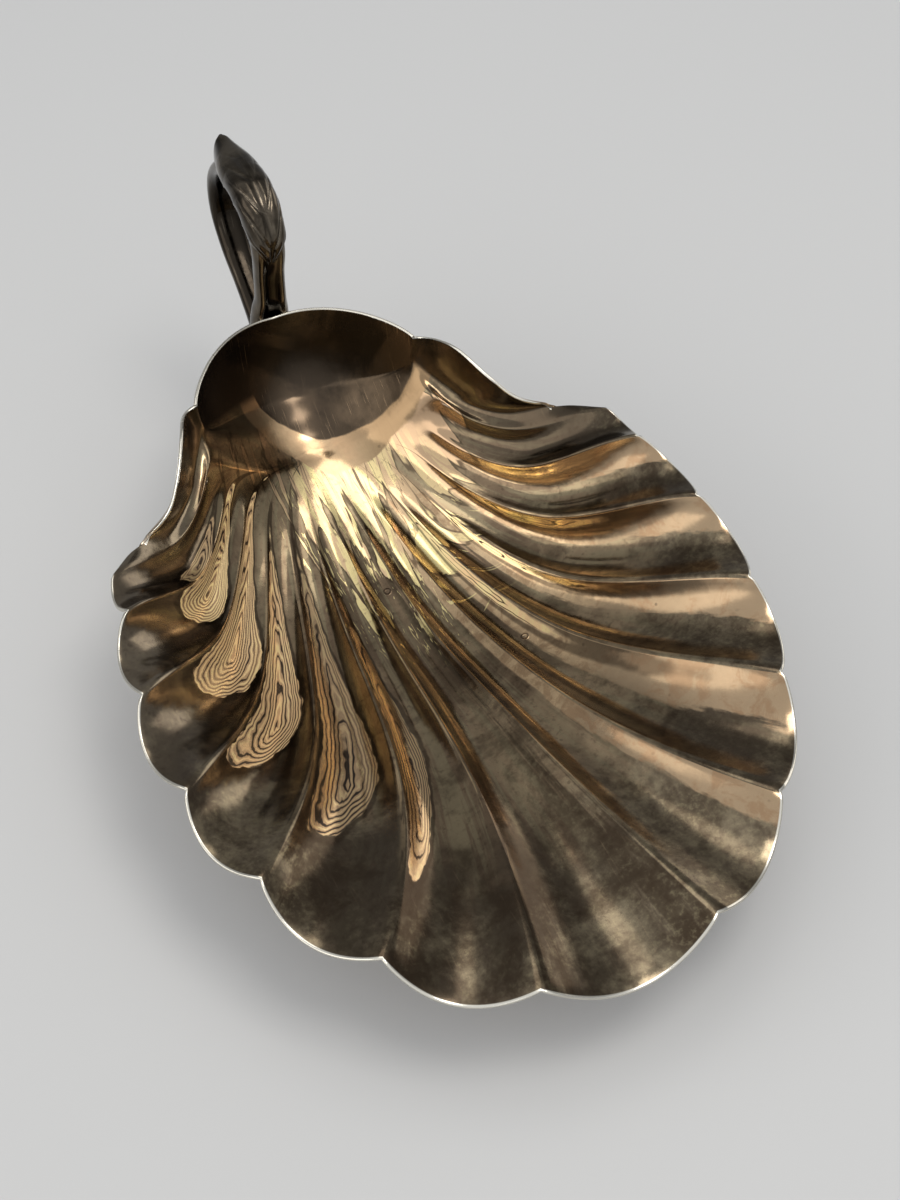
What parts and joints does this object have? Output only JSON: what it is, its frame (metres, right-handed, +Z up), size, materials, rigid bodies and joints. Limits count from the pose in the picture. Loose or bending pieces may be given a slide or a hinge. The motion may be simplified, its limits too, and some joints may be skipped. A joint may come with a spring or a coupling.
{
  "type": "shell dish",
  "caption": "Scallop shell serving dish in tarnished silver plate, with a fluted bowl, a smooth hood, a leaf-capped loop handle and ball feet.",
  "frame": {"origin": "on the surface the dish stands on, under the centre of its overall length and width", "axes": "+X across the dish, +Y from the lip toward the handle, +Z up"},
  "size_m": [0.2224, 0.3408, 0.1312],
  "materials": {
    "bowl_plate": "tarnished silver plate over yellow metal, polished",
    "handle_plate": "cast, silver plated and tarnished dark",
    "foot_plate": "cast, silver plated, worn where it stands"
  },
  "bodies": {
    "root": {"shell_bowl": "bowl_plate", "handle_loop": "handle_plate", "handle_leaf": "handle_plate", "foot_rear": "foot_plate", "foot_left": "foot_plate", "foot_right": "foot_plate"}
  },
  "joints": []
}
